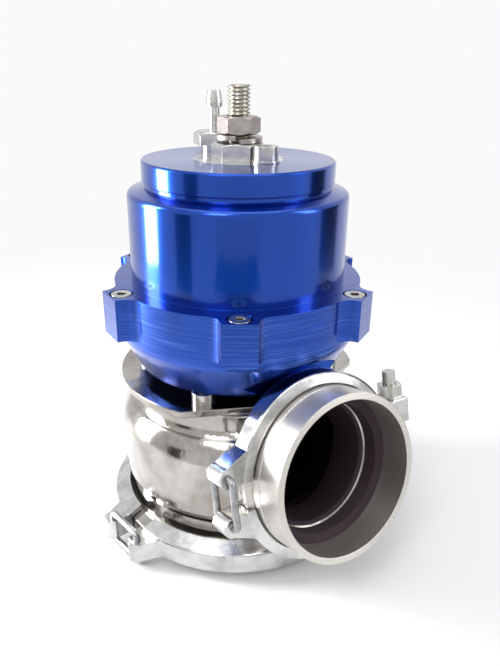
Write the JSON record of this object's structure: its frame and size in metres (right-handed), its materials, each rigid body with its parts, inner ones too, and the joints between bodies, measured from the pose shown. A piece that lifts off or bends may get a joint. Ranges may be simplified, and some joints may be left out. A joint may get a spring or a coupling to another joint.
{
  "type": "turbo wastegate",
  "caption": "External turbo wastegate: V-band poppet-valve body under a blue diaphragm actuator with adjustable springs, lugged screwed seam, hose barb, and hinged V-band clamps.",
  "frame": {"origin": "centre of the inlet weld flange's lower face", "axes": "+Z along the valve axis towards the actuator; the outlet points to -Y and rises 11.9 degrees"},
  "size_m": [0.1189, 0.1245, 0.1668],
  "materials": {
    "blue_anodised": "anodised, satin",
    "cast_stainless": "polished casting",
    "turned_steel": "turned",
    "clamp_steel": "polished cast",
    "bright_steel": "bright",
    "valve_steel": "ground",
    "spring_steel": "satin",
    "bright_aluminium": "machined",
    "bronze": "machined",
    "rubber_fabric": "matt",
    "seal_rubber": "matt"
  },
  "bodies": {
    "housing": {"top_cap": "blue_anodised", "actuator_base": "blue_anodised", "cover_screws": "bright_steel", "centre_disc": "bright_aluminium", "adjuster_collar": "bright_steel", "lock_washer": "bright_steel", "lock_nut": "bright_steel", "vent_screw": "bright_steel", "vent_washer": "seal_rubber", "hose_barb": "bright_steel", "outer_spring": "spring_steel", "inner_spring": "spring_steel", "diaphragm": "rubber_fabric", "stem_seal": "seal_rubber", "valve_guide": "bronze", "valve_body": "cast_stainless", "valve_seat": "valve_steel", "standoffs": "bright_steel", "base_screws": "bright_steel", "inlet_flange": "turned_steel", "outlet_flange": "turned_steel", "inlet_clamp_keeper": "clamp_steel", "inlet_hinge_pin": "bright_steel", "inlet_cross_pin": "bright_steel", "inlet_clamp_bolt": "bright_steel", "outlet_clamp_keeper": "clamp_steel", "outlet_hinge_pin": "bright_steel", "outlet_cross_pin": "bright_steel", "outlet_clamp_bolt": "bright_steel"},
    "poppet": {"valve": "valve_steel", "retainer_plate": "bright_aluminium", "piston_cup": "bright_aluminium", "stem_nut": "bright_steel"},
    "preload_seat": {"spring_seat": "bright_aluminium"},
    "adjuster": {"adjuster_screw": "bright_steel"},
    "inlet_arm": {"inlet_clamp_arm": "clamp_steel"},
    "inlet_nut": {"inlet_clamp_nut": "bright_steel"},
    "outlet_arm": {"outlet_clamp_arm": "clamp_steel"},
    "outlet_nut": {"outlet_clamp_nut": "bright_steel"}
  },
  "joints": [
    {"name": "valve_lift", "type": "slide", "parent": "housing", "child": "poppet", "axis": [0, 0, 1], "range_m": [0, 0.013], "stiffness_N_per_m": 4000, "springref_m": -0.02, "deforming": ["outer_spring", "inner_spring", "diaphragm"]},
    {"name": "preload", "type": "slide", "parent": "housing", "child": "preload_seat", "axis": [0, 0, 1], "range_m": [-0.005, 0], "deforming": ["outer_spring", "inner_spring"]},
    {"name": "adjuster_turn", "type": "hinge", "parent": "preload_seat", "child": "adjuster", "pos_m": [0, 0, 0.143], "axis": [0, 0, 1], "range_deg": [-1440, 0]},
    {"name": "inlet_clamp_open", "type": "hinge", "parent": "housing", "child": "inlet_arm", "pos_m": [-0.05572, 0.00172, 0.0077], "axis": [0, 0, 1], "range_deg": [0, 2.09]},
    {"name": "inlet_nut_run", "type": "slide", "parent": "housing", "child": "inlet_nut", "axis": [-0.1219, 0.9925, 0], "range_m": [0, 0.0044]},
    {"name": "outlet_clamp_open", "type": "hinge", "parent": "housing", "child": "outlet_arm", "pos_m": [-0.0374, -0.04864, 0.05384], "axis": [0, -0.9785, 0.2062], "range_deg": [0, 3.08]},
    {"name": "outlet_nut_run", "type": "slide", "parent": "housing", "child": "outlet_nut", "axis": [0, 0.2062, 0.9785], "range_m": [0, 0.0044]}
  ],
  "couplings": [
    {"joint": "adjuster_turn", "follows": "preload", "rad_per_m": 5026.5},
    {"joint": "inlet_nut_run", "follows": "inlet_clamp_open", "m_per_rad": 0.1146},
    {"joint": "outlet_nut_run", "follows": "outlet_clamp_open", "m_per_rad": 0.0792}
  ]
}
